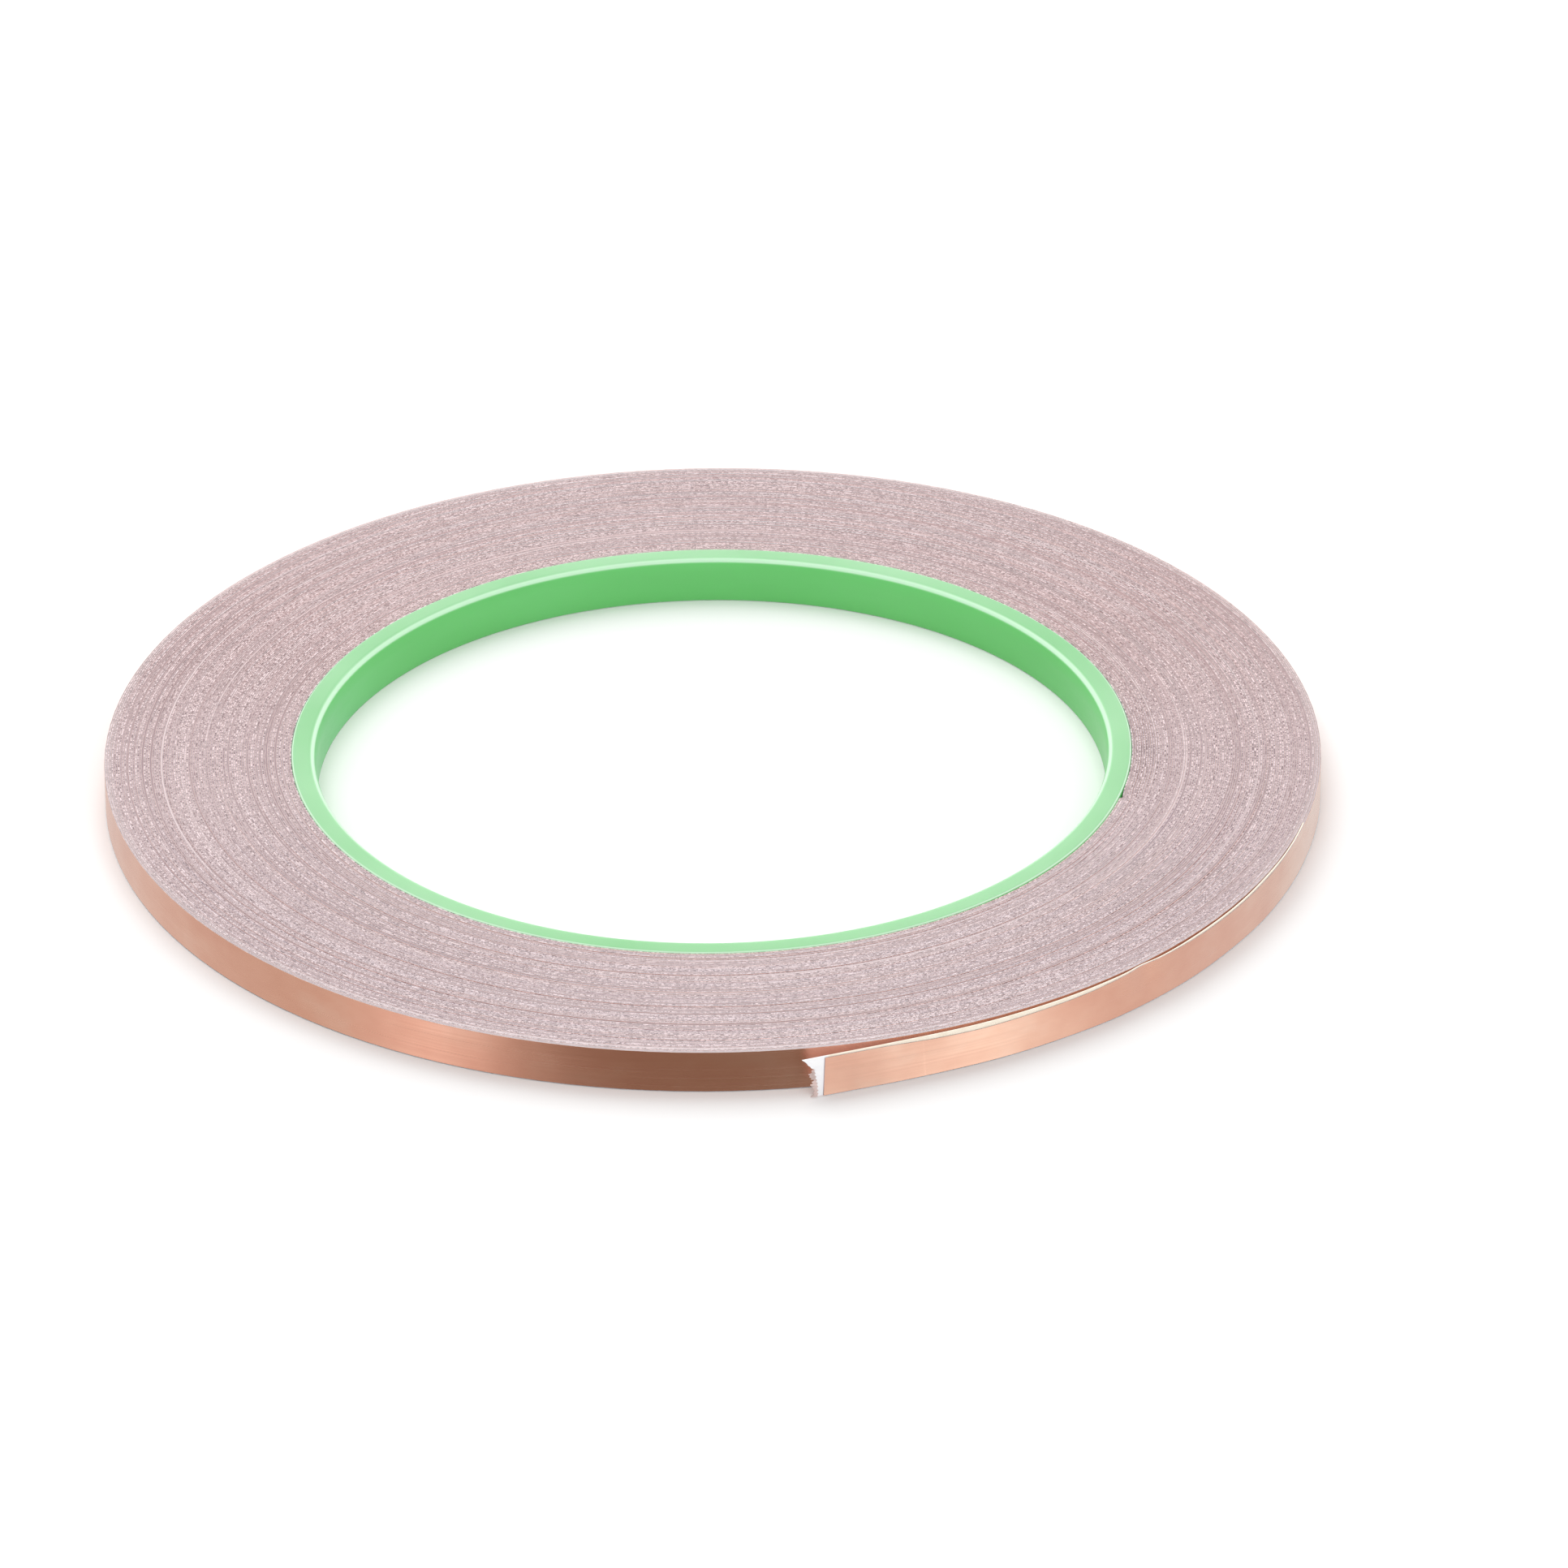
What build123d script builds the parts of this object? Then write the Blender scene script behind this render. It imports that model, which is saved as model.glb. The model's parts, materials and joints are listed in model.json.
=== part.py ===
"""A 20 m roll of 3 mm copper foil tape on a plastic core, lying flat, with its end lifted.

Millimetres, +Z up. The origin is on the core's axis, in the plane that the core rests on.

The tape is a laminate of three strips. From the inside of the roll outwards they are the
release liner, the adhesive and the copper foil. It is wound clockwise, seen from above: its
distance from the axis grows clockwise, up to the peel line, where the tail leaves the roll.
Everything is drawn with the peel line on the +X axis, and turned into place at the end.
Angles named here are clockwise from +X, as the tape runs.
"""

import os
from math import cos, degrees, radians, sin

from build123d import *

# Tape
TAPE_WIDTH = 3.0
LINER_THICKNESS = 0.085
ADHESIVE_THICKNESS = 0.030
FOIL_THICKNESS = 0.035
BOND_GAP = 0.002  # kept between neighbouring solids, so that no two share a face
TURNS = 87  # whole turns on the core, up to the peel line

# Core
CORE_OUTER_RADIUS = 29.5
CORE_BORE_RADIUS = 27.7
CORE_HEIGHT = 3.3  # the tape is wound halfway up it, clear of both rims
LEAD_IN_WIDTH = 0.25  # the sloping lip at the top of the bore
LEAD_IN_DEPTH = 0.8
RIM_CHAMFER = 0.1  # on both rims of the outer wall

# Starter tab, a double-sided strip under the first stretch of liner
TAB_THICKNESS = 0.060
TAB_LENGTH = 15.0

# Tail: it keeps the roll's curve at first, and its end is flatter
PEEL_LINE = 16.0  # where the tail leaves the roll, once turned into place
TAIL_WRAP = 48.0  # angle over which the tail keeps the roll's curve
TAIL_OPENING = 0.6  # how far the tail is turned away from the roll, degrees
END_CURVE_RADIUS = 125.0
FOIL_TIP_LENGTH = 12.5  # the foil along the flatter end
HINGE_GAP = 0.02  # between the strips on either side of a hinge

# The torn end of the liner: how far it runs past the foil's end, and at what height
TORN_EDGE = [(0.60, 0.0), (0.78, 0.5), (0.70, 0.9), (0.95, 1.5), (1.15, 2.2), (1.65, TAPE_WIDTH)]

# Worked out from the above
TAPE_BASE = (CORE_HEIGHT - TAPE_WIDTH) / 2
PITCH = LINER_THICKNESS + ADHESIVE_THICKNESS + FOIL_THICKNESS
HALF_PITCH = PITCH / 2
START_RADIUS = CORE_OUTER_RADIUS + TAB_THICKNESS + 2 * BOND_GAP
TAIL_RADIUS = START_RADIUS + TURNS * PITCH  # the liner's inner face at the peel line
ROOT_ANGLE = degrees(HINGE_GAP / TAIL_RADIUS)
TIP_START = TAIL_WRAP + degrees(HINGE_GAP / END_CURVE_RADIUS)
TIP_END = TAIL_WRAP + degrees(FOIL_TIP_LENGTH / END_CURVE_RADIUS)
LINER_END = TIP_END + degrees(max(length for length, _ in TORN_EDGE) / END_CURVE_RADIUS)

# Each strip's inner and outer faces, as distances from the liner's inner face
LINER = (0.0, LINER_THICKNESS - BOND_GAP)
ADHESIVE = (LINER_THICKNESS, LINER_THICKNESS + ADHESIVE_THICKNESS - BOND_GAP)
FOIL = (LINER_THICKNESS + ADHESIVE_THICKNESS, PITCH - BOND_GAP)


def point_at(centre, radius, angle):
    """The point at that clockwise angle about a centre."""
    return centre + Vector(radius * cos(radians(angle)), -radius * sin(radians(angle)))


CORE_CENTRE = Vector(0, 0)
END_CURVE_CENTRE = point_at(CORE_CENTRE, TAIL_RADIUS - END_CURVE_RADIUS, TAIL_WRAP)


def strip_solid(edges):
    """A solid of the tape's width standing on a closed outline at height 0."""
    return extrude(Face(Wire(edges)), amount=TAPE_WIDTH, dir=(0, 0, 1))


def arcs(layer, centre, radius, first, last):
    """A strip's two long edges along an arc, between two clockwise angles."""
    return [CenterArc(centre, radius + depth, -first, first - last).edge() for depth in layer]


def cap(layer, centre, radius, angle):
    """A strip's short edge."""
    return Line(*(point_at(centre, radius + depth, angle) for depth in layer)).edge()


def arc_strip(layer, centre, radius, first, last):
    """A strip along one arc."""
    caps = [cap(layer, centre, radius, angle) for angle in (first, last)]
    return strip_solid(arcs(layer, centre, radius, first, last) + caps)


def wound_strip(layer):
    """A strip from the core to the peel line: half-turns about two centres, one after the other."""
    edges = [cap(layer, CORE_CENTRE, radius, 0) for radius in (START_RADIUS, TAIL_RADIUS)]
    for half_turn in range(2 * TURNS):
        radius = START_RADIUS + half_turn * HALF_PITCH
        if half_turn % 2 == 0:
            edges += arcs(layer, CORE_CENTRE, radius, 0, 180)
        else:
            edges += arcs(layer, Vector(HALF_PITCH, 0), radius, 180, 360)
    return strip_solid(edges)


def make_core():
    """The core ring, revolved from its section."""
    section = [
        (CORE_BORE_RADIUS, 0),
        (CORE_OUTER_RADIUS - RIM_CHAMFER, 0),
        (CORE_OUTER_RADIUS, RIM_CHAMFER),
        (CORE_OUTER_RADIUS, CORE_HEIGHT - RIM_CHAMFER),
        (CORE_OUTER_RADIUS - RIM_CHAMFER, CORE_HEIGHT),
        (CORE_BORE_RADIUS + LEAD_IN_WIDTH, CORE_HEIGHT),
        (CORE_BORE_RADIUS, CORE_HEIGHT - LEAD_IN_DEPTH),
    ]
    outline = Wire.make_polygon([Vector(radius, 0, height) for radius, height in section])
    return revolve(Face(outline), Axis.Z)


def make_starter_tab():
    """The tab that holds the liner's first stretch to the core."""
    radius = CORE_OUTER_RADIUS + BOND_GAP
    return arc_strip((0.0, TAB_THICKNESS), CORE_CENTRE, radius, 0, degrees(TAB_LENGTH / radius))


def make_liner_tail():
    """The liner's loose end: round the tail's curve, along its flatter end and past the foil."""
    edges = arcs(LINER, CORE_CENTRE, TAIL_RADIUS, ROOT_ANGLE, TAIL_WRAP)
    edges += arcs(LINER, END_CURVE_CENTRE, END_CURVE_RADIUS, TAIL_WRAP, LINER_END)
    edges.append(cap(LINER, CORE_CENTRE, TAIL_RADIUS, ROOT_ANGLE))
    edges.append(cap(LINER, END_CURVE_CENTRE, END_CURVE_RADIUS, LINER_END))
    return strip_solid(edges) - make_torn_off()


def make_torn_off():
    """What is torn off the liner's end, as a block across the sheet. Its plane's X is along the tape."""
    foil_end = point_at(END_CURVE_CENTRE, END_CURVE_RADIUS, TIP_END)
    along = Vector(-sin(radians(TIP_END)), -cos(radians(TIP_END)))
    sheet_plane = Plane(origin=foil_end, x_dir=along, z_dir=along.cross(Vector(0, 0, 1)))
    below, above = -1.0, TAPE_WIDTH + 1.0
    beyond = TORN_EDGE[-1][0] + 1.0
    corners = [(TORN_EDGE[0][0], below), *TORN_EDGE, (TORN_EDGE[-1][0], above), (beyond, above), (beyond, below)]
    outline = Wire.make_polygon([Vector(*corner) for corner in corners])
    return extrude(sheet_plane * Face(outline), amount=1.0, both=True)


peel_hinge = point_at(CORE_CENTRE, TAIL_RADIUS + FOIL[1], 0)
tip_hinge = point_at(CORE_CENTRE, TAIL_RADIUS + FOIL[1], TAIL_WRAP)

wound_strips = {
    "starter_tab": make_starter_tab(),
    "liner_winding": wound_strip(LINER),
    "adhesive_winding": wound_strip(ADHESIVE),
    "foil_winding": wound_strip(FOIL),
}
tail_strips = {
    "liner_tail": make_liner_tail(),
    "adhesive_tail": arc_strip(ADHESIVE, CORE_CENTRE, TAIL_RADIUS, ROOT_ANGLE, TAIL_WRAP),
    "foil_tail": arc_strip(FOIL, CORE_CENTRE, TAIL_RADIUS, ROOT_ANGLE, TAIL_WRAP),
    "adhesive_tip": arc_strip(ADHESIVE, END_CURVE_CENTRE, END_CURVE_RADIUS, TIP_START, TIP_END),
    "foil_tip": arc_strip(FOIL, END_CURVE_CENTRE, END_CURVE_RADIUS, TIP_START, TIP_END),
}

opening = Pos(peel_hinge) * Rot(0, 0, TAIL_OPENING) * Pos(-peel_hinge)
placing = Pos(0, 0, TAPE_BASE) * Rot(0, 0, -PEEL_LINE)

os.makedirs("parts", exist_ok=True)
export_step(make_core(), "parts/core.step")
for name, strip in wound_strips.items():
    export_step(placing * strip, f"parts/{name}.step")
for name, strip in tail_strips.items():
    export_step(placing * opening * strip, f"parts/{name}.step")

for name, place in (("peel hinge", Pos(peel_hinge)), ("tip hinge", opening * Pos(tip_hinge))):
    print(name, (placing * place).position)
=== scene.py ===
import json
from math import asin, atan2, cos, degrees, hypot, pi, radians, sin

import bpy
import numpy as np
from mathutils import Matrix, Vector


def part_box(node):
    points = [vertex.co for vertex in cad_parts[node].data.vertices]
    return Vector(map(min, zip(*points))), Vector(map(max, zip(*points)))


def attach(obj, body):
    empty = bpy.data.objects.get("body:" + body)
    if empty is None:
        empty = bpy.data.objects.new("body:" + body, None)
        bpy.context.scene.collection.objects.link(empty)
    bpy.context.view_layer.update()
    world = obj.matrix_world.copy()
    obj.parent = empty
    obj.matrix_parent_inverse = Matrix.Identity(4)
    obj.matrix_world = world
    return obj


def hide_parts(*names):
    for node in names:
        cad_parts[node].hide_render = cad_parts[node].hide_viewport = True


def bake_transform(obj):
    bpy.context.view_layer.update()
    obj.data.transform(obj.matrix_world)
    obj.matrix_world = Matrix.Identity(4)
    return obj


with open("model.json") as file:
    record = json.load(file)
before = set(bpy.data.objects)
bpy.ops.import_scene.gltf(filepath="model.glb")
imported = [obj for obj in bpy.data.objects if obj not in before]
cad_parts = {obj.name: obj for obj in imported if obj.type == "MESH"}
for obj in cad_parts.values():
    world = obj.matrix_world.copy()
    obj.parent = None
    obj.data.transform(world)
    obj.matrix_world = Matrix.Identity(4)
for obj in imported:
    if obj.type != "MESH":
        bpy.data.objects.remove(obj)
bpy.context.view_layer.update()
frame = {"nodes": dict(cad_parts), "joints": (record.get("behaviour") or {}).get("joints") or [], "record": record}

# Lengths are in millimetres up to the making of each mesh, and angles in degrees.
# Angles along the tape are clockwise seen from above, as the tape runs.
MM = 0.001
SEED = 7

# ---------------------------------------------------------------- sizes, from the frame
mounts = {mount["name"]: mount for mount in frame["record"]["mounts"]}
joints = {joint["name"]: joint for joint in frame["joints"]}


def box_mm(node):
    """A CAD node's lowest and highest corners in millimetres."""
    return [np.array(corner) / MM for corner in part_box(node)]


PEEL_HINGE = np.array(joints["tail_peel"]["pos_m"][:2]) / MM
TIP_HINGE = np.array(joints["foil_peel"]["pos_m"][:2]) / MM
BORE_RADIUS = mounts["core_bore"]["dims"]["r_mm"]
CORE_OUTER_RADIUS = box_mm("core")[1][0]
CORE_HEIGHT = box_mm("core")[1][2]
TAPE_BASE = box_mm("foil_tail")[0][2]
TAPE_WIDTH = box_mm("foil_tail")[1][2] - TAPE_BASE

# The laminate, from the inside of the roll outwards
LINER_THICKNESS = 0.085
ADHESIVE_THICKNESS = 0.030
FOIL_THICKNESS = 0.035
BOND_GAP = 0.002
PITCH = LINER_THICKNESS + ADHESIVE_THICKNESS + FOIL_THICKNESS
LINER = (0.0, LINER_THICKNESS - BOND_GAP)
ADHESIVE = (LINER_THICKNESS, LINER_THICKNESS + ADHESIVE_THICKNESS - BOND_GAP)
FOIL = (LINER_THICKNESS + ADHESIVE_THICKNESS, PITCH - BOND_GAP)

# The winding
PEEL_LINE = -degrees(atan2(PEEL_HINGE[1], PEEL_HINGE[0]))
PEEL_RADIUS = hypot(*PEEL_HINGE)
TAIL_RADIUS = PEEL_RADIUS - FOIL[1]
TURNS = round((TAIL_RADIUS - CORE_OUTER_RADIUS) / PITCH - 0.5)
START_RADIUS = TAIL_RADIUS - TURNS * PITCH
STATIONS_PER_TURN = 144
DISH = (0.05, -0.10)  # how far the tape is lifted beside the core, and at the rim
SETTLING_TURNS = 12  # the turns over which the step at the strip's start evens out
STEP_START = 0.992  # where in a turn the strip starts to climb onto its own start
TAB_SINK = 0.054  # how far the first turns sink past the starter tab's end
TAB_END = 0.085  # where in a turn the tab ends
ADHESIVE_SUNK = 0.030  # how far the adhesive's slit edge lies below the liner's
FOIL_SUNK = 0.012
EDGE_WAVES = 14  # slow waves in the height of the turns' edges
EDGE_WAVE_SIZE = 0.006
EDGE_KNOTS_PER_TURN = 3  # and quicker unevenness between knots
EDGE_KNOT_SIZE = 0.012

# The tail: the two hinges give its curve's angle and how far it is opened
HINGE_CHORD = TIP_HINGE - PEEL_HINGE
TAIL_WRAP = degrees(2 * asin(hypot(*HINGE_CHORD) / (2 * PEEL_RADIUS)))
CHORD_DIRECTION = -degrees(atan2(HINGE_CHORD[1], HINGE_CHORD[0]))
TAIL_OPENING = PEEL_LINE + 90 + TAIL_WRAP / 2 - CHORD_DIRECTION
END_CURVE_RADIUS = 125.0
FOIL_TIP_LENGTH = 12.5
TAIL_ARC_LENGTH = radians(TAIL_WRAP) * TAIL_RADIUS
FOIL_END = TAIL_ARC_LENGTH + FOIL_TIP_LENGTH
TAIL_BASE = TAPE_BASE + DISH[1]
TAIL_STEP = 0.25  # between stations along the tail
TAIL_ROWS = 10  # of faces up the tail's walls
LINER_ROWS = 48  # finer, for the torn end
CREASE_PLACE = 22.5
CREASE_DEPTH = 0.14
END_CURL = 0.42  # how far the tail's end is nearer to the roll than in the CAD
CUT_SKEW = 0.13  # how far the foil's end is out of square
ADHESIVE_OVERRUN = 0.04  # how far the adhesive shows past it

# How far the foil's top edge lies below the liner's: lengths along the tail, and depths
FOIL_LIP_PLACES = [0.0, 4.0, 7.0, 17.0, 21.5, 23.5, 28.0, 33.0, 37.0, 40.5, 44.0, 49.0]
FOIL_LIP_DEPTHS = [0.0, 0.02, 0.12, 0.12, 0.02, 0.03, 0.22, 0.30, 0.36, 0.30, 0.14, 0.10]

# The liner's torn end: how far it runs past the foil's end, at those heights above the tail's base
TORN_LENGTHS = [0.60, 0.62, 0.76, 0.82, 1.20, 1.40, 1.65]
TORN_HEIGHTS = [0.0, 0.9, 1.6, 2.1, 2.5, 2.8, TAPE_WIDTH]
STUB_LENGTH = max(TORN_LENGTHS)
FRINGE_TOP = 2.2  # how far up the torn edge the brownish strip reaches

# The core's bore lip
LEAD_IN_WIDTH = 0.25
LEAD_IN_DEPTH = 0.8
CORE_SIDES = 288


# ---------------------------------------------------------------- the tape's path
def direction(angles):
    """Unit vectors at those clockwise angles."""
    turned = np.radians(angles)
    return np.stack([np.cos(turned), -np.sin(turned)], axis=1)


def ease(values, low, high):
    """0 below low and 1 above high, with a smooth rise between them."""
    part = np.clip((values - low) / (high - low), 0.0, 1.0)
    return part * part * (3 - 2 * part)


def settling(turns):
    """How far the first turns lie inside the spiral: they hug the core up to the step at their start."""
    within = turns % 1.0
    growth = np.where(within < 0.5, 0.0, PITCH / 2 * (1.0 + np.cos(2 * pi * within)))
    off_tab = TAB_SINK * ease(within, TAB_END, TAB_END + 0.03)
    up_to_step = 1.0 - ease(within, STEP_START, 1.0)
    return (growth + off_tab) * up_to_step * np.clip(1.0 - turns / SETTLING_TURNS, 0.0, 1.0)


def wound_path(turns):
    """Points of the liner's inner face, and outward normals, after so many turns from the core."""
    half_turns = np.floor(turns * 2)
    second_half = half_turns % 2 == 1
    normals = direction(turns * 360 + PEEL_LINE)
    radii = START_RADIUS + half_turns * PITCH / 2 - settling(turns)
    shift = np.where(second_half, PITCH / 2, 0.0)
    centres = shift[:, None] * direction(np.array([PEEL_LINE]))
    return centres + normals * radii[:, None], normals


def tail_path(lengths):
    """Points of the liner's inner face, and outward normals, at those lengths past the peel line."""
    on_end_curve = lengths > TAIL_ARC_LENGTH
    past = np.where(on_end_curve, lengths - TAIL_ARC_LENGTH, 0.0)
    round_roll = np.degrees(np.minimum(lengths, TAIL_ARC_LENGTH) / TAIL_RADIUS)
    angles = round_roll + np.degrees(past / END_CURVE_RADIUS) + PEEL_LINE
    radii = np.where(on_end_curve, END_CURVE_RADIUS, TAIL_RADIUS)
    end_centre = direction(np.array([TAIL_WRAP + PEEL_LINE])) * (TAIL_RADIUS - END_CURVE_RADIUS)
    centres = np.where(on_end_curve[:, None], end_centre, 0.0)
    points = centres + direction(angles) * radii[:, None]
    turn = radians(TAIL_OPENING)
    matrix = np.array([[cos(turn), sin(turn)], [-sin(turn), cos(turn)]])
    return (points - PEEL_HINGE) @ matrix + PEEL_HINGE, direction(angles - TAIL_OPENING)


# ---------------------------------------------------------------- meshes
def ring_mesh(name, rings, closed, smooth, tape=None):
    """A solid from rings of points, one after the other along a path.

    rings has the shape (stations, points round the ring, 3). smooth says which of the ring's
    edges, each from a point to the next, sweep a smooth wall. The other faces are flat, and take
    the piece's second material. The last ring joins the first where closed is true, and both
    ends are capped where it isn't. tape holds a vector for each point, which materials read as
    the attribute "tape".
    """
    stations, around, _ = rings.shape
    index = np.arange(stations * around).reshape(stations, around)
    ahead = np.roll(index, -1, axis=0) if closed else index[1:]
    here = index if closed else index[:-1]
    quads = np.stack([here, np.roll(here, -1, axis=1), np.roll(ahead, -1, axis=1), ahead], axis=2)
    quads = quads.reshape(-1, 4)
    smooth_faces = np.tile(smooth, len(here))
    if not closed:
        rows = around // 2
        caps = []
        for ring, flip in ((index[0], True), (index[-1], False)):
            for row in range(rows - 1):
                quad = [ring[row], ring[row + 1], ring[around - 2 - row], ring[around - 1 - row]]
                caps.append(quad[::-1] if flip else quad)
        quads = np.concatenate([quads, np.array(caps)])
        smooth_faces = np.concatenate([smooth_faces, np.zeros(len(caps), bool)])
    points = rings.reshape(-1, 3) * MM
    corners = points[quads]
    volume = np.einsum("ij,ij->i", corners[:, 0], np.cross(corners[:, 1], corners[:, 2])).sum()
    volume += np.einsum("ij,ij->i", corners[:, 0], np.cross(corners[:, 2], corners[:, 3])).sum()
    if volume < 0:
        quads = quads[:, ::-1]
    mesh = bpy.data.meshes.new(name)
    mesh.from_pydata(points.tolist(), [], quads.tolist())
    mesh.polygons.foreach_set("use_smooth", smooth_faces)
    mesh.polygons.foreach_set("material_index", np.where(smooth_faces, 0, 1))
    mesh.set_sharp_from_angle(angle=radians(35))
    if tape is not None:
        attribute = mesh.attributes.new("tape", "FLOAT_VECTOR", "POINT")
        attribute.data.foreach_set("vector", (tape.reshape(-1, 3) * MM).ravel())
    mesh.update()
    piece = bpy.data.objects.new(name, mesh)
    bpy.context.scene.collection.objects.link(piece)
    return piece


def strip(name, path, layer, low, high, lengths, across, rows=1, bulge=None):
    """A strip's mesh along a path.

    low and high are the heights of its edges at each station, and rows is how many faces its
    walls have from one to the other. across is how far each station is from the core through the
    tape, for the materials. bulge(lengths, heights) moves the wall outwards.
    """
    points, normals = path
    inner, outer = layer
    rise = np.linspace(0.0, 1.0, rows + 1)
    heights = low[:, None] + (high - low)[:, None] * rise[None, :]
    out = np.zeros_like(heights) if bulge is None else bulge(lengths[:, None], heights)
    walls = []
    for depth in (inner, outer):
        flat = points[:, None, :] + normals[:, None, :] * (depth + out)[:, :, None]
        walls.append(np.concatenate([flat, heights[:, :, None]], axis=2))
    rings = np.concatenate([walls[0], walls[1][:, ::-1]], axis=1)
    smooth = np.array([True] * rows + [False] + [True] * rows + [False])
    tape = np.zeros_like(rings)
    tape[:, :, 0] = lengths[:, None]
    tape[:, :, 1] = across[:, None]
    tape[:, :, 2] = rings[:, :, 2]
    return ring_mesh(name, rings, False, smooth, tape)


# ---------------------------------------------------------------- node trees
class Nodes:
    """Short calls for building a node tree."""

    def __init__(self, tree):
        self.tree = tree
        self.shader = tree.nodes.get("Principled BSDF")

    def add(self, kind, settings=None, **inputs):
        """A node with its settings and its inputs, each a value or another node's output."""
        node = self.tree.nodes.new(kind)
        for key, value in (settings or {}).items():
            setattr(node, key, value)
        for key, value in inputs.items():
            self.put(node, key.replace("_", " "), value)
        return node

    def put(self, node, key, value):
        """Sets an input, by its name or its number, to a value or another node's output."""
        socket = node.inputs[int(key) if key.isdigit() else key]
        if isinstance(value, bpy.types.NodeSocket):
            self.tree.links.new(value, socket)
        else:
            socket.default_value = value

    def math(self, operation, a, b=0.0):
        """A sum, product or other function of one or two numbers."""
        node = self.add("ShaderNodeMath", {"operation": operation})
        self.put(node, "0", a)
        self.put(node, "1", b)
        return node.outputs[0]

    def tape(self):
        """The tape's own coordinates: length along it, distance through the roll and height."""
        return self.add("ShaderNodeAttribute", {"attribute_name": "tape"}).outputs["Vector"]

    def scaled(self, vector, x, y, z):
        """A vector stretched along each axis, which sets how many grains a texture has to the metre."""
        node = self.add("ShaderNodeVectorMath", {"operation": "MULTIPLY"})
        self.put(node, "0", vector)
        self.put(node, "1", (x, y, z))
        return node.outputs[0]

    def noise(self, vector, detail=2.0, roughness=0.5):
        """Noise from 0 to 1, with one grain to each unit of the vector."""
        node = self.add("ShaderNodeTexNoise", Vector=vector, Scale=1.0, Detail=detail, Roughness=roughness)
        return node.outputs["Fac"]

    def ramp(self, factor, stops):
        """A colour ramp through stops of (position, colour)."""
        node = self.add("ShaderNodeValToRGB", Fac=factor)
        elements = node.color_ramp.elements
        while len(elements) < len(stops):
            elements.new(0.5)
        for element, (position, colour) in zip(elements, stops):
            element.position = position
            element.color = (*colour, 1.0)
        return node.outputs["Color"]

    def mix(self, factor, a, b):
        """Two colours, mixed: the first at a factor of 0 and the second at 1."""
        node = self.add("ShaderNodeMix", {"data_type": "RGBA"})
        self.put(node, "0", factor)
        self.put(node, "6", a if isinstance(a, bpy.types.NodeSocket) else (*a, 1.0))
        self.put(node, "7", b if isinstance(b, bpy.types.NodeSocket) else (*b, 1.0))
        return node.outputs[2]

    def spread(self, value, low, high, first=0.0, last=1.0):
        """A value between first and last, spread evenly between low and high."""
        node = self.add("ShaderNodeMapRange")
        self.put(node, "0", value)
        self.put(node, "1", first)
        self.put(node, "2", last)
        self.put(node, "3", low)
        self.put(node, "4", high)
        return node.outputs[0]

    def rise(self, value, start, end):
        """0 before start and 1 past end, with a smooth rise between them. End may be the lower one."""
        node = self.add("ShaderNodeMapRange", {"interpolation_type": "SMOOTHSTEP"})
        self.put(node, "0", value)
        self.put(node, "1", start)
        self.put(node, "2", end)
        return node.outputs[0]

    def bump(self, height, distance_mm, strength, after=None):
        """A normal with relief, on top of another normal where one is given."""
        node = self.add("ShaderNodeBump", Strength=strength, Distance=distance_mm * MM, Height=height)
        if after is not None:
            self.put(node, "Normal", after)
        return node.outputs["Normal"]

    def surface(self, **inputs):
        """Sets the shader's own sockets."""
        for key, value in inputs.items():
            self.put(self.shader, key.replace("_", " "), value)


# ---------------------------------------------------------------- materials
def new_material(name):
    """A new material and its nodes."""
    material = bpy.data.materials.new(name)
    material.use_nodes = True
    return material, Nodes(material.node_tree)


def copper_material(name):
    """Bright rolled copper: fine lines along the tape, soft stains, and slight waves in its face."""
    material, nodes = new_material(name)
    tape = nodes.tape()
    lines = nodes.noise(nodes.scaled(tape, 45, 900, 7000), detail=4.0, roughness=0.6)
    stains = nodes.noise(nodes.scaled(tape, 160, 500, 260), detail=3.0, roughness=0.6)
    waves = nodes.noise(nodes.scaled(tape, 260, 300, 150), detail=1.0)
    bright = nodes.ramp(
        stains,
        [(0.32, (0.88, 0.47, 0.35)), (0.55, (0.93, 0.53, 0.40)), (0.75, (0.96, 0.60, 0.47))],
    )
    nodes.surface(
        Base_Color=nodes.mix(nodes.spread(lines, 0.0, 0.10), bright, (0.70, 0.36, 0.25)),
        Metallic=1.0,
        Roughness=nodes.spread(lines, 0.17, 0.33),
        Anisotropic=0.5,
    )
    fine = nodes.bump(lines, 0.004, 0.5)
    nodes.surface(Normal=nodes.bump(waves, 0.06, 0.6, after=fine))
    tangent = nodes.add("ShaderNodeTangent", {"direction_type": "RADIAL", "axis": "Z"})
    nodes.surface(Tangent=tangent.outputs[0])
    return material


def slit_copper_material(name):
    """The foil's slit edge: duller and greyer than its face."""
    material, nodes = new_material(name)
    grain = nodes.noise(nodes.scaled(nodes.tape(), 1800, 4200, 0), detail=3.0, roughness=0.7)
    colour = nodes.ramp(
        grain,
        [(0.35, (0.36, 0.25, 0.23)), (0.55, (0.56, 0.41, 0.38)), (0.70, (0.74, 0.58, 0.54))],
    )
    nodes.surface(Base_Color=colour, Metallic=0.55, Roughness=nodes.spread(grain, 0.35, 0.6))
    nodes.surface(Normal=nodes.bump(grain, 0.01, 0.6))
    return material


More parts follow.
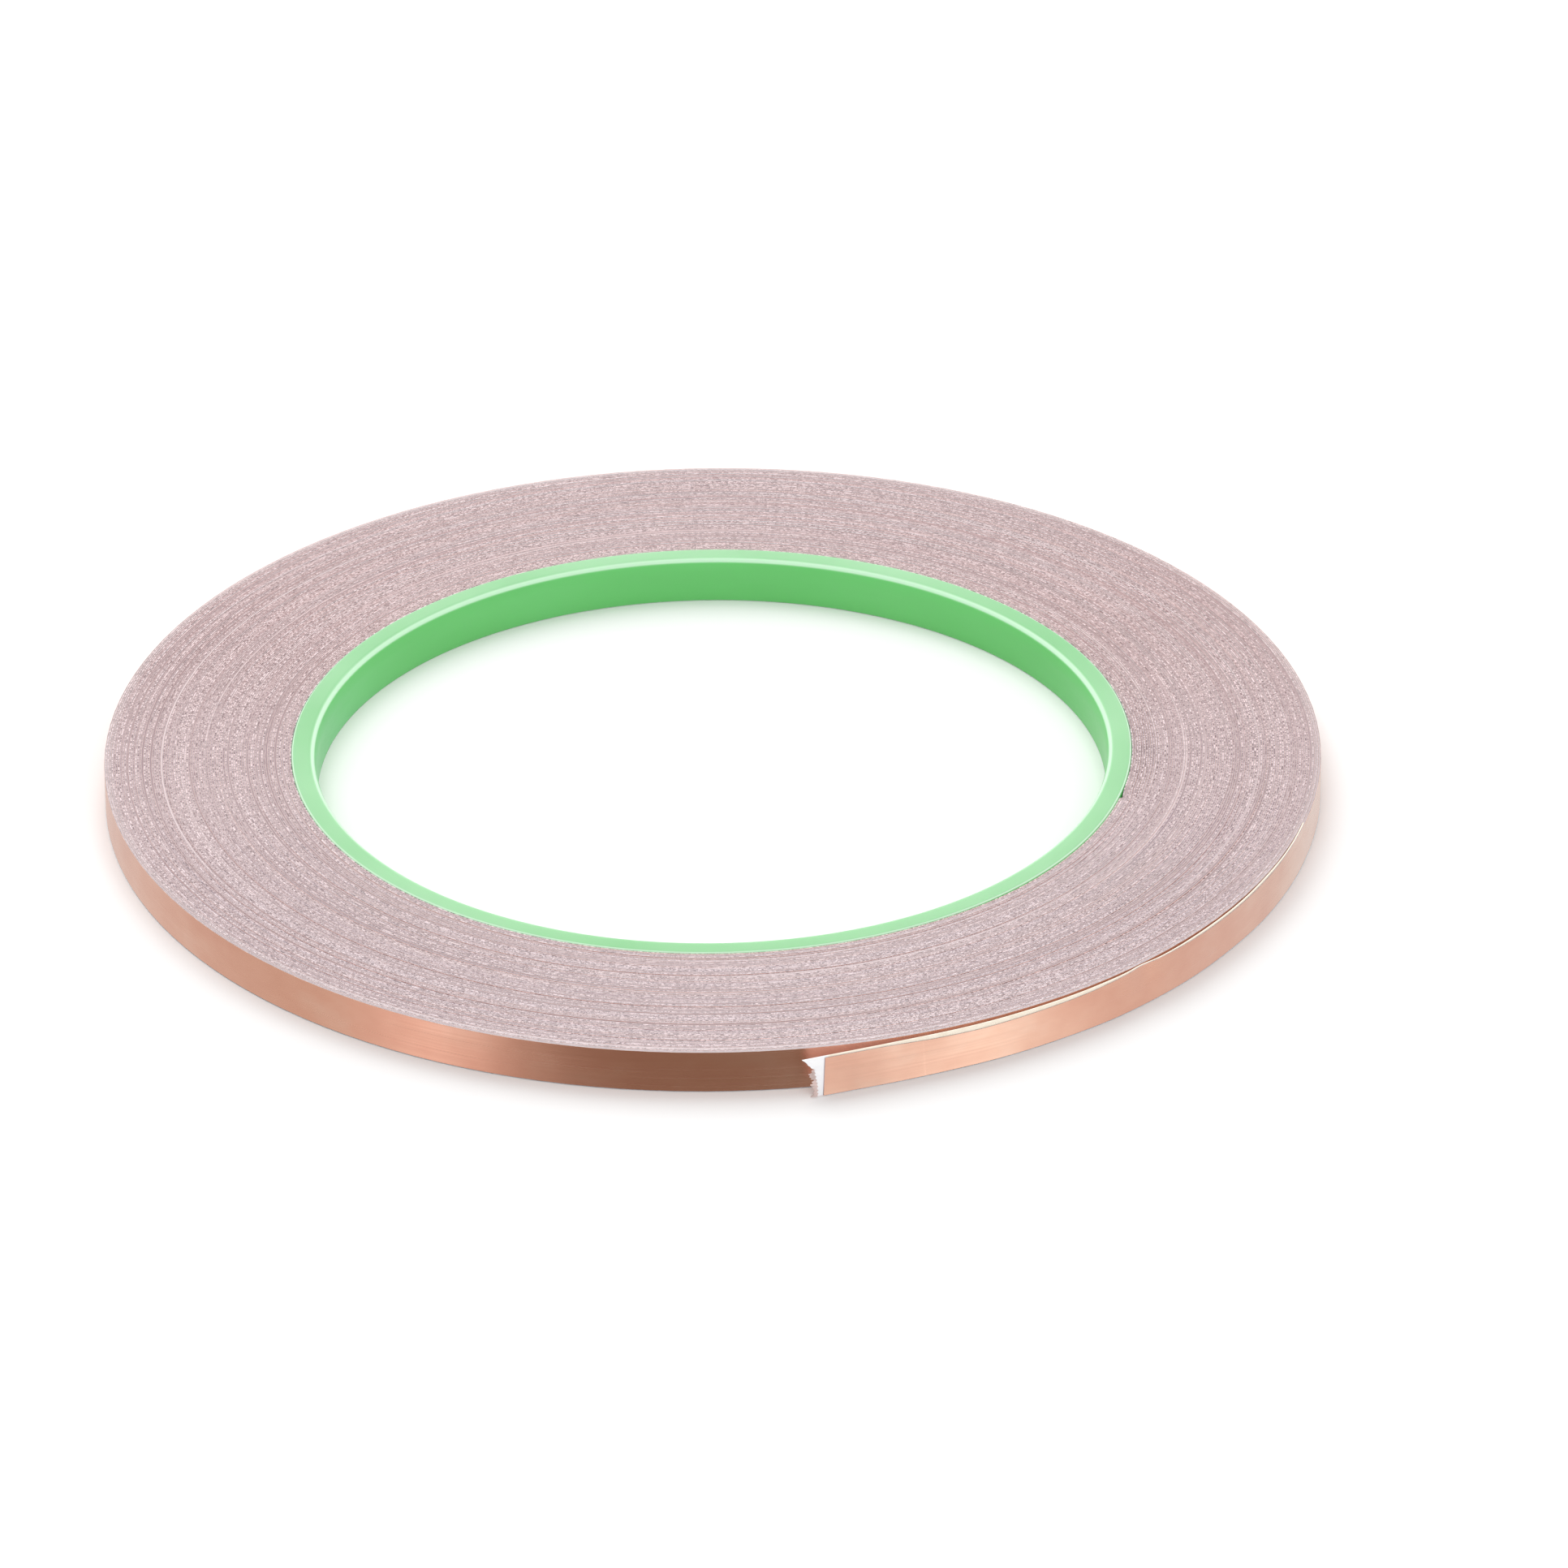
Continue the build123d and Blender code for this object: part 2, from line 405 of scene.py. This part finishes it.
def slit_paper_material(name):
    """The liner's slit edge: lilac-grey with fine specks, in rings and in turns that sit in threes, and near white
    at the rim, partly the liner's whiter edge and partly a painted sheen.
    """
    group_width = 3 * PITCH * MM
    wander = 9.0  # radians, by which the threes shift from place to place
    pale_turns = 5  # at the rim
    material, nodes = new_material(name)
    tape = nodes.tape()
    specks = nodes.noise(nodes.scaled(tape, 4200, 5200, 0), detail=2.0, roughness=0.8)
    rings = nodes.noise(nodes.scaled(tape, 12, 3800, 0), detail=1.0)
    bands = nodes.noise(nodes.scaled(tape, 6, 900, 0), detail=1.0)
    speckled = nodes.ramp(
        specks,
        [(0.38, (0.20, 0.14, 0.16)), (0.5, (0.53, 0.42, 0.44)), (0.60, (0.92, 0.77, 0.80))],
    )
    lined = nodes.mix(nodes.rise(rings, 0.52, 0.72), speckled, (0.36, 0.26, 0.28))
    ringed = nodes.mix(nodes.rise(rings, 0.42, 0.24), lined, (0.76, 0.64, 0.66))
    across = nodes.add("ShaderNodeSeparateXYZ", Vector=tape).outputs["Y"]
    groups = nodes.math("MULTIPLY", across, 2 * pi / group_width)
    uneven = nodes.math("ADD", groups, nodes.math("MULTIPLY", bands, wander))
    threes = nodes.spread(nodes.rise(nodes.math("SINE", uneven), -0.2, 1.0), 0.0, 0.5)
    grouped = nodes.mix(threes, ringed, (0.40, 0.29, 0.31))
    banded = nodes.mix(nodes.spread(bands, -0.15, 0.30), grouped, (0.56, 0.43, 0.45))
    # The outer turns at the rim go near white: partly the liner's whiter edge, partly a painted sheen.
    rim = nodes.spread(across, 0.0, 0.35, (TURNS - pale_turns) * PITCH * MM, TURNS * PITCH * MM)
    nodes.surface(Base_Color=nodes.mix(rim, banded, (0.92, 0.88, 0.88)))
    nodes.surface(Roughness=0.85, Specular_IOR_Level=0.2)
    nodes.surface(Normal=nodes.bump(specks, 0.02, 0.6))
    return material


def paper_material(name):
    """The liner's white paper, with faint fibres, and cream where the foil leaves its top edge bare."""
    material, nodes = new_material(name)
    tape = nodes.tape()
    fibres = nodes.noise(nodes.scaled(tape, 1100, 3000, 2400), detail=3.0, roughness=0.65)
    cream = nodes.ramp(fibres, [(0.3, (0.93, 0.83, 0.68)), (0.7, (0.98, 0.90, 0.77))])
    white = nodes.ramp(fibres, [(0.3, (0.92, 0.92, 0.95)), (0.7, (0.98, 0.98, 0.99))])
    parts = nodes.add("ShaderNodeSeparateXYZ", Vector=tape).outputs
    top = TAIL_BASE + TAPE_WIDTH
    near_top = nodes.rise(parts["Z"], (top - 0.5) * MM, (top - 0.35) * MM)
    up_to_foil_end = nodes.rise(parts["X"], FOIL_END * MM, (FOIL_END - 0.4) * MM)
    bared = nodes.math("MULTIPLY", near_top, up_to_foil_end)
    nodes.surface(Base_Color=nodes.mix(bared, white, cream), Roughness=0.6, Specular_IOR_Level=0.35)
    nodes.surface(Normal=nodes.bump(fibres, 0.006, 0.5))
    return material


def adhesive_material(name, tint, on_cad_node=False):
    """The tacky film, with small bubbles and dust. CAD nodes have no attribute "tape"."""
    material, nodes = new_material(name)
    place = nodes.add("ShaderNodeTexCoord").outputs["Object"] if on_cad_node else nodes.tape()
    grain = nodes.noise(nodes.scaled(place, 1500, 4000, 1500), detail=2.0)
    dark = tuple(0.68 * channel for channel in tint)
    nodes.surface(
        Base_Color=nodes.ramp(grain, [(0.35, dark), (0.65, tint)]),
        Roughness=nodes.spread(grain, 0.3, 0.55),
        IOR=1.47,
    )
    nodes.surface(Normal=nodes.bump(grain, 0.01, 0.5))
    return material


def core_material(name):
    """Light green plastic: saturated in the bore, paler on the flat faces as a painted sheen, and palest on the
    rounded rims as a painted highlight.
    """
    material, nodes = new_material(name)
    coordinates = nodes.add("ShaderNodeTexCoord").outputs
    place = coordinates["Object"]
    cloud = nodes.noise(nodes.scaled(place, 60, 60, 240), detail=3.0)
    frost = nodes.noise(nodes.scaled(place, 700, 700, 1500), detail=4.0, roughness=0.7)
    upright = nodes.add("ShaderNodeSeparateXYZ", Vector=coordinates["Normal"]).outputs["Z"]
    slope = nodes.math("ABSOLUTE", upright)
    bore = nodes.ramp(cloud, [(0.3, (0.145, 0.55, 0.155)), (0.7, (0.165, 0.60, 0.180))])
    # The flat faces get a paler green than the bore: a painted sheen of the light above.
    flat_face_painted_sheen = nodes.ramp(cloud, [(0.3, (0.22, 0.56, 0.24)), (0.7, (0.33, 0.65, 0.35))])
    # The rounded rims, neither upright nor level, get a pale green: a painted highlight.
    rim_painted_highlight = nodes.mix(nodes.rise(slope, 0.40, 0.60), bore, (0.60, 0.88, 0.63))
    nodes.surface(
        Base_Color=nodes.mix(nodes.rise(slope, 0.86, 0.99), rim_painted_highlight, flat_face_painted_sheen),
        Roughness=nodes.spread(frost, 0.28, 0.42),
        IOR=1.5,
        Specular_IOR_Level=0.3,
        Subsurface_Weight=0.25,
        Subsurface_Radius=(0.5 * MM, 1.2 * MM, 0.6 * MM),
        Subsurface_Scale=1.0,
    )
    nodes.surface(Normal=nodes.bump(frost, 0.003, 0.4))
    return material


def floor_material(name):
    """Plain pale card."""
    material, nodes = new_material(name)
    nodes.surface(Base_Color=(0.95, 0.95, 0.95, 1.0), Roughness=0.9, Specular_IOR_Level=0.0)
    return material


COPPER = copper_material("copper")
SLIT_COPPER = slit_copper_material("slit_copper")
PAPER = paper_material("release_paper")
SLIT_PAPER = slit_paper_material("slit_paper")
ADHESIVE_FILM = adhesive_material("adhesive_film", (0.60, 0.52, 0.54))
# Brownish pink, for the thin strip along the liner's torn edge.
TORN_EDGE_BROWN = adhesive_material("torn_film", (0.80, 0.62, 0.58))
TAB_FILM = adhesive_material("tab_film", (0.80, 0.77, 0.68), on_cad_node=True)
CORE_PLASTIC = core_material("core_plastic")

# The materials of a piece's faces and slit edges, and its slot
LINER_LOOK = (PAPER, SLIT_PAPER, "liner_paper")
LOOSE_LINER_LOOK = (PAPER, PAPER, "liner_paper")
ADHESIVE_LOOK = (ADHESIVE_FILM, ADHESIVE_FILM, "adhesive")
TORN_LOOK = (TORN_EDGE_BROWN, TORN_EDGE_BROWN, "adhesive")
FOIL_LOOK = (COPPER, SLIT_COPPER, "copper_foil")
CORE_LOOK = (CORE_PLASTIC, CORE_PLASTIC, "core_plastic")


def finish_piece(piece, node, look):
    """Gives a piece its materials, and hides the CAD node that it stands for."""
    face, edge, slot = look
    piece.data.materials.append(face)
    piece.data.materials.append(edge)
    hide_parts(node)


# ---------------------------------------------------------------- the winding
rng = np.random.default_rng(SEED)


def wound_heights(turns):
    """How far each turn's edge stands above or below the tape's width: groups of turns and single turns."""
    angle = turns * 2 * pi
    depth = turns * PITCH
    heights = np.zeros_like(turns)
    for _ in range(EDGE_WAVES):
        wavelength = rng.uniform(0.7, 3.2)
        around = rng.integers(-1, 2)
        size = EDGE_WAVE_SIZE * rng.uniform(0.5, 1.0)
        heights += size * np.sin(2 * pi * depth / wavelength + around * angle + rng.uniform(0, 2 * pi))
    knots = rng.normal(0.0, EDGE_KNOT_SIZE, EDGE_KNOTS_PER_TURN * TURNS + 5)
    place = turns * EDGE_KNOTS_PER_TURN
    before = np.floor(place).astype(int)
    part = ease(place - before, 0.0, 1.0)
    return heights + knots[before] * (1 - part) + knots[before + 1] * part


def build_winding():
    """The three strips wound on the core."""
    turns = np.linspace(0.0, TURNS, TURNS * STATIONS_PER_TURN + 1)
    turns[-1] -= 1e-9  # so that the last station is on the last half-turn
    path = wound_path(turns)
    lengths = 2 * pi * (START_RADIUS * turns + PITCH * turns**2 / 2)
    depth = turns * PITCH
    low = TAPE_BASE + DISH[0] + (DISH[1] - DISH[0]) * turns / TURNS
    high = low + TAPE_WIDTH + wound_heights(turns)
    strips = (
        ("liner_winding", LINER, LINER_LOOK, 0.0),
        ("adhesive_winding", ADHESIVE, ADHESIVE_LOOK, ADHESIVE_SUNK),
        ("foil_winding", FOIL, FOIL_LOOK, FOIL_SUNK),
    )
    for node, layer, look, sunk in strips:
        piece = strip(node + "_turns", path, layer, low, high - sunk, lengths, depth)
        finish_piece(piece, node, look)
        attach(piece, "roll")


# ---------------------------------------------------------------- the tail
def tail_bulge(lengths, heights):
    """The tail's slight waves, the crease where it has been pressed back, and its end's inward curl."""
    rise = (heights - TAIL_BASE) / TAPE_WIDTH
    waves = 0.020 * np.sin(lengths / 2.9 + 1.4 * rise) + 0.012 * np.sin(lengths / 1.35 - 2.0 * rise + 0.8)
    crease = -CREASE_DEPTH * np.exp(-(((lengths - CREASE_PLACE - 0.8 * rise) / 1.1) ** 2)) * rise
    curl = -END_CURL * ease(lengths, TAIL_ARC_LENGTH, FOIL_END + 1.0)
    start = np.clip(lengths / 6.0, 0.0, 1.0)
    return (waves + crease + curl) * start


def foil_lip(lengths):
    """How far the foil's top edge lies below the liner's at those lengths."""
    return np.interp(lengths, FOIL_LIP_PLACES, FOIL_LIP_DEPTHS)


def bend(piece):
    """Bakes a tail piece's transform into its mesh."""
    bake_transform(piece)


def tail_strip(node, layer, look, span, shape=None, rows=TAIL_ROWS, lowered=True):
    """One strip of the tail between two lengths.

    shape(lengths, rises) gives the lengths of its points once its end is torn or cut. lowered
    says whether its top edge is the foil's, which lies below the liner's.
    """
    first, last = span
    count = int(round((last - first) / TAIL_STEP)) + 1
    lengths = np.linspace(first, last, count)
    low = np.full(count, TAIL_BASE)
    high = low + TAPE_WIDTH - lowered * foil_lip(lengths)
    across = np.full(count, TURNS * PITCH)
    path = tail_path(lengths)
    piece = strip(node + "_ribbon", path, layer, low, high, lengths, across, rows, tail_bulge)
    finish_piece(piece, node, look)
    if shape is not None:
        shape_end(piece, shape)
    bend(piece)


def shape_end(piece, shape):
    """Slides a tail piece's points along the tape to the lengths that shape gives them."""
    mesh = piece.data
    tape = np.zeros(len(mesh.vertices) * 3)
    mesh.attributes["tape"].data.foreach_get("vector", tape)
    tape = tape.reshape(-1, 3) / MM
    old_points, _ = tail_path(tape[:, 0])
    new_points, _ = tail_path(shape(tape[:, 0], tape[:, 2] - TAIL_BASE))
    places = np.zeros(len(mesh.vertices) * 3)
    mesh.vertices.foreach_get("co", places)
    places = places.reshape(-1, 3)
    places[:, :2] += (new_points - old_points) * MM
    mesh.vertices.foreach_set("co", places.ravel())
    mesh.update()


def torn_lengths(rises):
    """How far the torn edge runs past the foil's end at each height above the tail's base."""
    ragged = 0.035 * np.sin(rises * 23.0) + 0.025 * np.sin(rises * 47.0 + 1.0)
    smooth_top = np.clip((TAPE_WIDTH - rises) / 0.8, 0.0, 1.0)
    return np.interp(rises, TORN_HEIGHTS, TORN_LENGTHS) + ragged * smooth_top


def torn_end(lengths, rises):
    """The liner's end, torn past the foil's."""
    past = (lengths - FOIL_END) / STUB_LENGTH
    return np.where(past > 0, FOIL_END + past * torn_lengths(rises), lengths)


def cut_end(lengths, rises):
    """The foil's end, cut slightly out of square."""
    near_end = np.clip((lengths - FOIL_END) / 2.0 + 1.0, 0.0, 1.0)
    return lengths + CUT_SKEW * near_end * (1.0 - rises / TAPE_WIDTH)


def build_torn_fringe():
    """A thin brownish-pink strip along the lower part of the liner's torn edge."""
    rises = np.linspace(0.02, FRINGE_TOP, 110)
    width = 0.26 + 0.09 * np.sin(rises * 8.0 + 0.9) + 0.06 * np.sin(rises * 29.0)
    width += 0.03 * np.sin(rises * 61.0)
    width = np.maximum(width * np.clip((FRINGE_TOP - rises) / 0.4, 0.0, 1.0), 0.01)
    edge = FOIL_END + torn_lengths(rises)
    rooted = edge - 0.04
    rings = np.zeros((len(rises), 4, 3))
    # Each corner of the strip's section: its lengths, and its depth through the tape
    corners = ((rooted, 0.03), (edge + width, 0.02), (edge + width, 0.06), (rooted, 0.13))
    for corner, (lengths, depth) in enumerate(corners):
        points, normals = tail_path(lengths)
        outward = depth + tail_bulge(lengths, TAIL_BASE + rises) + 0.02 * np.sin(rises * 17.0)
        rings[:, corner, :2] = points + normals * outward[:, None]
        rings[:, corner, 2] = TAIL_BASE + rises
    fringe = ring_mesh("torn_fringe", rings, False, np.ones(4, bool), tape=rings)
    finish_piece(fringe, "liner_tail", TORN_LOOK)
    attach(fringe, "tail")


def build_tail():
    """The lifted end: the strips from the peel line, and those of the foil's tip from its hinge."""
    whole = (0.0, FOIL_END + STUB_LENGTH)
    curved = (0.0, TAIL_ARC_LENGTH)
    foil_tip = (TAIL_ARC_LENGTH, FOIL_END)
    adhesive_tip = (TAIL_ARC_LENGTH, FOIL_END + ADHESIVE_OVERRUN)
    tail_strip("liner_tail", LINER, LOOSE_LINER_LOOK, whole, torn_end, LINER_ROWS, lowered=False)
    tail_strip("adhesive_tail", ADHESIVE, ADHESIVE_LOOK, curved)
    tail_strip("foil_tail", FOIL, FOIL_LOOK, curved)
    tail_strip("adhesive_tip", ADHESIVE, ADHESIVE_LOOK, adhesive_tip, cut_end)
    tail_strip("foil_tip", FOIL, FOIL_LOOK, foil_tip, cut_end)
    build_torn_fringe()


# ---------------------------------------------------------------- the core
def rounded_profile(corners):
    """A closed section with rounded corners, from corners of (radius, height, rounding)."""
    profile = []
    count = len(corners)
    for i, (radius, height, rounding) in enumerate(corners):
        here = np.array([radius, height])
        before = np.array(corners[i - 1][:2])
        after = np.array(corners[(i + 1) % count][:2])
        start = here + (before - here) / np.linalg.norm(before - here) * rounding
        end = here + (after - here) / np.linalg.norm(after - here) * rounding
        for part in np.linspace(0.0, 1.0, 6):
            profile.append((1 - part) ** 2 * start + 2 * part * (1 - part) * here + part**2 * end)
    return np.array(profile)


def build_core():
    """The plastic ring, with soft rims and the sloping lip at the top of its bore."""
    corners = [
        (CORE_OUTER_RADIUS, 0.0, 0.12),
        (CORE_OUTER_RADIUS, CORE_HEIGHT, 0.22),
        (BORE_RADIUS + LEAD_IN_WIDTH, CORE_HEIGHT, 0.42),
        (BORE_RADIUS, CORE_HEIGHT - LEAD_IN_DEPTH, 0.40),
        (BORE_RADIUS, 0.0, 0.10),
    ]
    profile = rounded_profile(corners)
    spokes = direction(np.linspace(0.0, 360.0, CORE_SIDES, endpoint=False))
    rings = np.zeros((CORE_SIDES, len(profile), 3))
    rings[:, :, :2] = spokes[:, None, :] * profile[None, :, :1]
    rings[:, :, 2] = profile[None, :, 1]
    core = ring_mesh("core_ring", rings, True, np.ones(len(profile), bool))
    finish_piece(core, "core", CORE_LOOK)
    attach(core, "roll")


def finish_starter_tab():
    """The tab is hidden under the tape, so it keeps its CAD shape, with a material of its own."""
    materials = frame["nodes"]["starter_tab"].data.materials
    materials.clear()
    materials.append(TAB_FILM)


# ---------------------------------------------------------------- floor, light and camera
# In metres
LIGHT_SIZE = 0.8
FLOOR_REACH = 3.0  # on each side
FLOOR_DROP = 0.00003  # so that the floor doesn't share the core's lowest plane
BACKDROP = (2.0, 2.0, 2.0)
CEILING = (0.60, 0.60, 0.60)

# What the roll's upright faces mirror: colours round the studio, by the angle from the camera's side
STUDIO_WALLS = [
    (-180, (0.80, 0.80, 0.80)),
    (-131, (0.76, 0.78, 0.78)),
    (-100, (0.66, 0.63, 0.60)),
    (-78, (0.60, 0.55, 0.50)),
    (-66, (0.72, 0.65, 0.62)),
    (-54, (1.20, 1.12, 1.10)),
    (-44, (0.72, 0.64, 0.60)),
    (-34, (0.36, 0.29, 0.25)),
    (-24, (0.25, 0.19, 0.15)),
    (20, (0.23, 0.18, 0.14)),
    (33, (0.38, 0.34, 0.33)),
    (38, (0.85, 0.80, 0.78)),
    (43, (1.20, 1.32, 1.32)),
    (53, (1.30, 1.50, 1.50)),
    (64, (0.92, 0.94, 0.92)),
    (80, (0.76, 0.75, 0.73)),
    (110, (0.72, 0.72, 0.74)),
    (140, (0.80, 0.95, 1.00)),
    (180, (0.80, 0.80, 0.80)),
]


def build_floor():
    """A pale floor. It isn't mirrored, so that the upright faces show the studio round them."""
    mesh = bpy.data.meshes.new("floor")
    sides = ((-1, -1), (1, -1), (1, 1), (-1, 1))
    corners = [(x * FLOOR_REACH, y * FLOOR_REACH, -FLOOR_DROP) for x, y in sides]
    mesh.from_pydata(corners, [], [(0, 1, 2, 3)])
    mesh.materials.append(floor_material("floor"))
    floor = bpy.data.objects.new("floor", mesh)
    bpy.context.scene.collection.objects.link(floor)
    floor.visible_glossy = False


def area_light(name, azimuth, elevation, distance, power):
    """A square soft light that points at the roll. Azimuth is anticlockwise from +X."""
    light = bpy.data.lights.new(name, "AREA")
    light.size = LIGHT_SIZE
    light.energy = power
    lamp = bpy.data.objects.new(name, light)
    flat = cos(radians(elevation))
    place = Vector((flat * cos(radians(azimuth)), flat * sin(radians(azimuth)), sin(radians(elevation))))
    lamp.location = place * distance
    lamp.rotation_euler = (-place).to_track_quat("-Z", "Y").to_euler()
    bpy.context.scene.collection.objects.link(lamp)
    return lamp


def build_lights():
    """Soft light from above and behind, a fill from the front, and a studio with a bright backdrop."""
    area_light("overhead", 110, 58, 0.9, 4.2)
    fill = area_light("fill", -80, 40, 1.0, 3.0)
    fill.visible_glossy = False
    world = bpy.data.worlds.new("studio")
    bpy.context.scene.world = world
    world.use_nodes = True
    world.cycles.sampling_method = "NONE"
    nodes = Nodes(world.node_tree)
    ray = nodes.add("ShaderNodeTexCoord").outputs["Generated"]
    parts = nodes.add("ShaderNodeSeparateXYZ", Vector=ray).outputs
    azimuth = nodes.math("ARCTAN2", parts["X"], nodes.math("MULTIPLY", parts["Y"], -1.0))
    place = nodes.math("ADD", nodes.math("DIVIDE", azimuth, 2 * pi), 0.5)
    walls = nodes.ramp(place, [((angle + 180) / 360, colour) for angle, colour in STUDIO_WALLS])
    lit = nodes.rise(parts["Z"], 0.20, 0.60)
    behind = nodes.rise(parts["Y"], 0.0, 0.6)
    backdrop = nodes.mix(lit, BACKDROP, CEILING)
    above = nodes.mix(behind, CEILING, backdrop)
    room = nodes.mix(nodes.rise(parts["Z"], -0.1, 0.1), walls, above)
    nodes.put(world.node_tree.nodes["Background"], "Color", room)


def build_camera():
    """The camera at the viewing angle: 29 degrees above the horizon, looking along +Y, a little tilted."""
    elevation, tilt, distance = radians(28.9), radians(-0.62), 0.845
    camera = bpy.data.cameras.new("camera")
    camera.sensor_width = 36.0
    camera.lens = 275.8
    camera.shift_x = 0.046
    camera.shift_y = 0.001
    viewer = bpy.data.objects.new("camera", camera)
    viewer.location = (0.0, -distance * cos(elevation), distance * sin(elevation))
    facing = Matrix.Rotation(pi / 2 - elevation, 3, "X") @ Matrix.Rotation(tilt, 3, "Z")
    viewer.rotation_euler = facing.to_euler()
    bpy.context.scene.collection.objects.link(viewer)
    bpy.context.scene.camera = viewer


build_core()
build_winding()
build_tail()
finish_starter_tab()
build_floor()
build_lights()
build_camera()
bpy.context.scene.view_settings.view_transform = "Standard"
